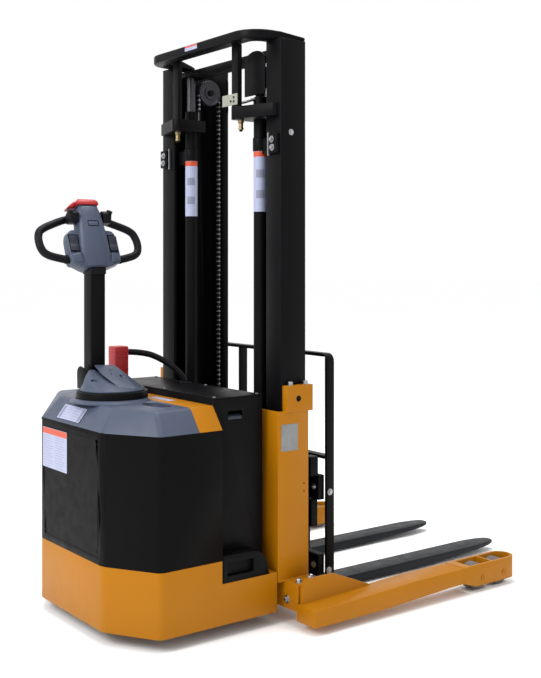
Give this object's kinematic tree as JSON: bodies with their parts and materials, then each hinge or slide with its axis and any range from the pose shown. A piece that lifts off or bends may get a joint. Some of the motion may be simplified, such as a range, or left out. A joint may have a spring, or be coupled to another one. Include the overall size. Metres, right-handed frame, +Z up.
{
  "type": "walkie straddle stacker",
  "caption": "Pedestrian electric straddle stacker: power unit with folding tiller, two-stage mast with lift cylinders and chains, fork carriage with backrest, and adjustable straddle legs.",
  "frame": {"origin": "on the floor, under the middle of the overall bounding box", "axes": "+X forwards to the fork tips, +Y to the left, +Z up"},
  "size_m": [2.0125, 1.2, 2.09],
  "materials": {
    "yellow_paint": "semi-gloss yellow-orange enamel",
    "black_paint": "satin black powder coat",
    "cover_black": "satin moulded black",
    "grey_blue_plastic": "fine-grained moulded grey-blue",
    "fork_grey": "dark grey enamel with scuffs",
    "bright_steel": "ground and chromed",
    "dark_steel": "oiled dark steel",
    "cast_housing": "matt grey coating over castings",
    "black_rubber": "matt",
    "wheel_polyurethane": "satin grey polyurethane",
    "tread_rubber": "matt",
    "red_plastic": "glossy red"
  },
  "bodies": {
    "chassis": {"chassis_frame": "yellow_paint", "straddle_cross_tube": "yellow_paint", "drive_cover": "cover_black", "rear_access_panel": "cover_black", "top_cover": "grey_blue_plastic", "cover_band": "yellow_paint", "battery_case": "black_paint", "battery_cells": "black_rubber", "battery_lid": "black_paint", "connector_base": "black_paint", "hydraulic_power_unit": "cast_housing", "motor_controller": "cast_housing", "mast_top_tie": "black_paint", "mast_column_left": "yellow_paint", "outer_channel_left": "black_paint", "ear_bracket_left": "black_paint", "lift_cylinder_left": "black_paint", "mast_column_right": "yellow_paint", "outer_channel_right": "black_paint", "ear_bracket_right": "black_paint", "lift_cylinder_right": "black_paint"},
    "steer": {"gear_case": "cast_housing", "traction_motor": "cast_housing", "steer_column": "black_paint", "tiller_hood": "grey_blue_plastic"},
    "drive_wheel": {"drive_wheel": "tread_rubber"},
    "tiller": {"tiller_arm": "black_paint", "tiller_head": "grey_blue_plastic", "handle_loop_left": "black_rubber", "handle_loop_right": "black_rubber"},
    "thumb_paddles": {"thumb_paddles": "black_rubber"},
    "reverse_button": {"reverse_button": "red_plastic"},
    "horn_button": {"horn_button": "cover_black"},
    "lift_rocker_left": {"lift_rocker_left": "cover_black"},
    "lift_rocker_right": {"lift_rocker_right": "cover_black"},
    "caster_left": {"caster_fork_left": "bright_steel"},
    "caster_wheel_left": {"caster_wheel_left": "wheel_polyurethane"},
    "caster_right": {"caster_fork_right": "bright_steel"},
    "caster_wheel_right": {"caster_wheel_right": "wheel_polyurethane"},
    "leg_left": {"straddle_leg_left": "yellow_paint"},
    "load_wheel_rear_left": {"load_wheel_rear_left": "wheel_polyurethane"},
    "load_wheel_front_left": {"load_wheel_front_left": "wheel_polyurethane"},
    "leg_right": {"straddle_leg_right": "yellow_paint"},
    "load_wheel_rear_right": {"load_wheel_rear_right": "wheel_polyurethane"},
    "load_wheel_front_right": {"load_wheel_front_right": "wheel_polyurethane"},
    "inner_mast": {"inner_mast": "black_paint", "lift_rod_left": "bright_steel", "lift_rod_right": "bright_steel", "lift_chain_left": "dark_steel", "lift_chain_right": "dark_steel"},
    "sheave_left": {"chain_sheave_left": "dark_steel"},
    "sheave_right": {"chain_sheave_right": "dark_steel"},
    "carriage": {"fork_carriage": "black_paint", "load_backrest": "black_paint"},
    "fork_left": {"fork_left": "fork_grey"},
    "fork_right": {"fork_right": "fork_grey"},
    "battery_retainer_left": {"battery_retainer_left": "black_paint"},
    "battery_retainer_right": {"battery_retainer_right": "black_paint"},
    "battery_plug": {"battery_plug": "red_plastic", "battery_cable": "black_rubber"}
  },
  "joints": [
    {"name": "steer", "type": "hinge", "parent": "chassis", "child": "steer", "pos_m": [-0.76875, 0, 0.5], "axis": [0, 0, 1], "range_deg": [0, 180]},
    {"name": "drive_wheel_spin", "type": "hinge", "parent": "steer", "child": "drive_wheel", "pos_m": [-0.76875, 0, 0.115], "axis": [1, 0, 0], "continuous": true},
    {"name": "tiller_fold", "type": "hinge", "parent": "steer", "child": "tiller", "pos_m": [-0.78175, 0.11, 0.845], "axis": [-1, 0, 0], "range_deg": [0, 80], "stiffness_Nm_per_rad": 14, "springref_deg": -28.65},
    {"name": "paddle_twist", "type": "hinge", "parent": "tiller", "child": "thumb_paddles", "pos_m": [-0.78175, 0.17381, 1.43562], "axis": [1, 0, 0], "range_deg": [-20, 20], "stiffness_Nm_per_rad": 0.5},
    {"name": "reverse_button_press", "type": "slide", "parent": "tiller", "child": "reverse_button", "axis": [0, -0.3746, -0.9272], "range_m": [0, 0.005], "stiffness_N_per_m": 800},
    {"name": "horn_button_press", "type": "slide", "parent": "tiller", "child": "horn_button", "axis": [0, 0.9272, -0.3746], "range_m": [0, 0.003], "stiffness_N_per_m": 500},
    {"name": "lift_rocker_left_tilt", "type": "hinge", "parent": "tiller", "child": "lift_rocker_left", "pos_m": [-0.70275, 0.11499, 1.34074], "axis": [1, 0, 0], "range_deg": [-6, 6], "stiffness_Nm_per_rad": 0.3},
    {"name": "lift_rocker_right_tilt", "type": "hinge", "parent": "tiller", "child": "lift_rocker_right", "pos_m": [-0.86075, 0.11499, 1.34074], "axis": [1, 0, 0], "range_deg": [-6, 6], "stiffness_Nm_per_rad": 0.3},
    {"name": "caster_swivel_left", "type": "hinge", "parent": "chassis", "child": "caster_left", "pos_m": [-0.68375, 0.3, 0.14], "axis": [0, 0, 1], "continuous": true},
    {"name": "caster_wheel_spin_left", "type": "hinge", "parent": "caster_left", "child": "caster_wheel_left", "pos_m": [-0.71375, 0.3, 0.055], "axis": [0, 1, 0], "continuous": true},
    {"name": "caster_swivel_right", "type": "hinge", "parent": "chassis", "child": "caster_right", "pos_m": [-0.68375, -0.3, 0.14], "axis": [0, 0, 1], "continuous": true},
    {"name": "caster_wheel_spin_right", "type": "hinge", "parent": "caster_right", "child": "caster_wheel_right", "pos_m": [-0.71375, -0.3, 0.055], "axis": [0, 1, 0], "continuous": true},
    {"name": "leg_width_left", "type": "slide", "parent": "chassis", "child": "leg_left", "axis": [0, 1, 0], "range_m": [0, 0.135]},
    {"name": "load_wheel_rear_left_spin", "type": "hinge", "parent": "leg_left", "child": "load_wheel_rear_left", "pos_m": [0.51125, 0.55, 0.05], "axis": [0, 1, 0], "continuous": true},
    {"name": "load_wheel_front_left_spin", "type": "hinge", "parent": "leg_left", "child": "load_wheel_front_left", "pos_m": [0.63325, 0.55, 0.05], "axis": [0, 1, 0], "continuous": true},
    {"name": "leg_width_right", "type": "slide", "parent": "chassis", "child": "leg_right", "axis": [0, -1, 0], "range_m": [0, 0.135]},
    {"name": "load_wheel_rear_right_spin", "type": "hinge", "parent": "leg_right", "child": "load_wheel_rear_right", "pos_m": [0.51125, -0.55, 0.05], "axis": [0, 1, 0], "continuous": true},
    {"name": "load_wheel_front_right_spin", "type": "hinge", "parent": "leg_right", "child": "load_wheel_front_right", "pos_m": [0.63325, -0.55, 0.05], "axis": [0, 1, 0], "continuous": true},
    {"name": "mast_lift", "type": "slide", "parent": "chassis", "child": "inner_mast", "axis": [0, 0, 1], "range_m": [0, 1.42], "deforming": ["lift_chain_left", "lift_chain_right"]},
    {"name": "carriage_lift", "type": "slide", "parent": "inner_mast", "child": "carriage", "axis": [0, 0, 1], "range_m": [0, 1.42]},
    {"name": "sheave_spin_left", "type": "hinge", "parent": "inner_mast", "child": "sheave_left", "pos_m": [-0.20875, 0.22, 1.95], "axis": [0, 1, 0], "continuous": true},
    {"name": "sheave_spin_right", "type": "hinge", "parent": "inner_mast", "child": "sheave_right", "pos_m": [-0.20875, -0.22, 1.95], "axis": [0, 1, 0], "continuous": true},
    {"name": "fork_spread_left", "type": "slide", "parent": "carriage", "child": "fork_left", "axis": [0, 1, 0], "range_m": [-0.1, 0.12]},
    {"name": "fork_spread_right", "type": "slide", "parent": "carriage", "child": "fork_right", "axis": [0, -1, 0], "range_m": [-0.1, 0.12]},
    {"name": "retainer_lift_left", "type": "slide", "parent": "chassis", "child": "battery_retainer_left", "axis": [0, 0, 1], "range_m": [0, 0.1]},
    {"name": "retainer_lift_right", "type": "slide", "parent": "chassis", "child": "battery_retainer_right", "axis": [0, 0, 1], "range_m": [0, 0.1]},
    {"name": "plug_pull", "type": "slide", "parent": "chassis", "child": "battery_plug", "axis": [0, 0, 1], "range_m": [0, 0.05]}
  ],
  "couplings": [
    {"joint": "carriage_lift", "follows": "mast_lift", "ratio": 1},
    {"joint": "sheave_spin_left", "follows": "mast_lift", "rad_per_m": -20.619},
    {"joint": "sheave_spin_right", "follows": "mast_lift", "rad_per_m": -20.619}
  ]
}
